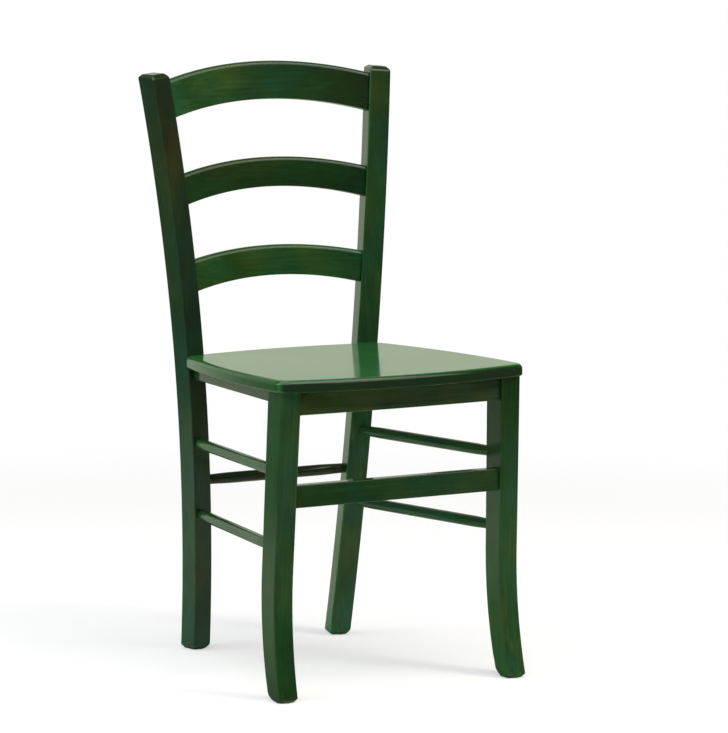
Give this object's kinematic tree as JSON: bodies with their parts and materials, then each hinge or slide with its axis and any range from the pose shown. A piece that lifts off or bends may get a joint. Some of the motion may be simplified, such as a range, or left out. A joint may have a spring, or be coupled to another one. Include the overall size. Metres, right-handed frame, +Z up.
{
  "type": "ladder-back dining chair",
  "caption": "Wooden dining chair with a flat board seat, bowed and arched back slats, swept front legs, curved rear posts and turned side stretchers.",
  "frame": {"origin": "on the floor, under the middle of the chair's overall box", "axes": "+Z up; the sitter faces -Y; +X to the viewer's right when looking at the front, along +Y"},
  "size_m": [0.425, 0.4813, 0.8933],
  "materials": {
    "frame_wood": "beech, deep green translucent stain under glossy lacquer",
    "seat_board": "beech board, deep green translucent stain under high-gloss lacquer",
    "raw_beech": "sawn beech, stained green, thin lacquer",
    "screw_steel": "zinc-plated steel"
  },
  "bodies": {
    "root": {"back_slat_lower": "frame_wood", "back_slat_middle": "frame_wood", "back_slat_top": "frame_wood", "corner_block_front_left": "raw_beech", "corner_block_front_right": "raw_beech", "corner_block_rear_left": "raw_beech", "corner_block_rear_right": "raw_beech", "front_leg_left": "frame_wood", "front_leg_right": "frame_wood", "front_seat_rail": "frame_wood", "front_stretcher": "frame_wood", "rear_post_left": "frame_wood", "rear_post_right": "frame_wood", "rear_seat_rail": "frame_wood", "rear_stretcher": "frame_wood", "seat_panel": "seat_board", "seat_screws": "screw_steel", "side_seat_rail_left": "frame_wood", "side_seat_rail_right": "frame_wood", "side_stretcher_lower_left": "frame_wood", "side_stretcher_lower_right": "frame_wood", "side_stretcher_upper_left": "frame_wood", "side_stretcher_upper_right": "frame_wood"}
  },
  "joints": []
}
